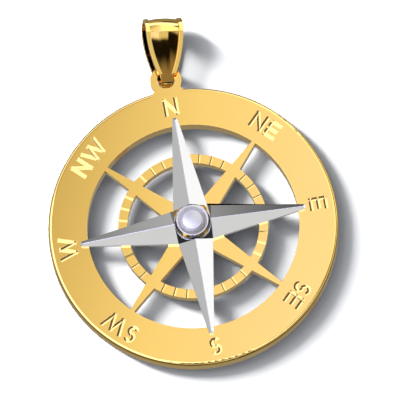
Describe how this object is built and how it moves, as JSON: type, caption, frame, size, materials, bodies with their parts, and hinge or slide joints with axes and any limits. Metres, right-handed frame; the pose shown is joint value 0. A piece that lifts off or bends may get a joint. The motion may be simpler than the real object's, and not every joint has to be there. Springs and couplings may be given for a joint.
{
  "type": "compass pendant",
  "caption": "Gold compass pendant: flat ring with engraved compass points, notched inner ring, raised star, rivet and folded bail.",
  "frame": {"origin": "middle of the whole pendant's outline, on the surface that it lies on, under the ring's back face", "axes": "+Y from the middle of the ring to the letter N and the bail, +X to the letter E, +Z out of the ring's engraved face"},
  "size_m": [0.035, 0.044, 0.0048],
  "materials": {
    "yellow_gold": "polished 14 carat yellow gold",
    "white_gold": "polished white gold, rhodium plated"
  },
  "bodies": {
    "pendant": {"compass_ring": "yellow_gold", "compass_star": "white_gold", "star_collar": "white_gold", "centre_rivet": "white_gold"},
    "bail": {"bail": "yellow_gold"}
  },
  "joints": [
    {"name": "bail_swing", "type": "hinge", "parent": "pendant", "child": "bail", "pos_m": [0, 0.01499, 0.00219], "axis": [1, 0, 0], "range_deg": [0, 45]}
  ]
}
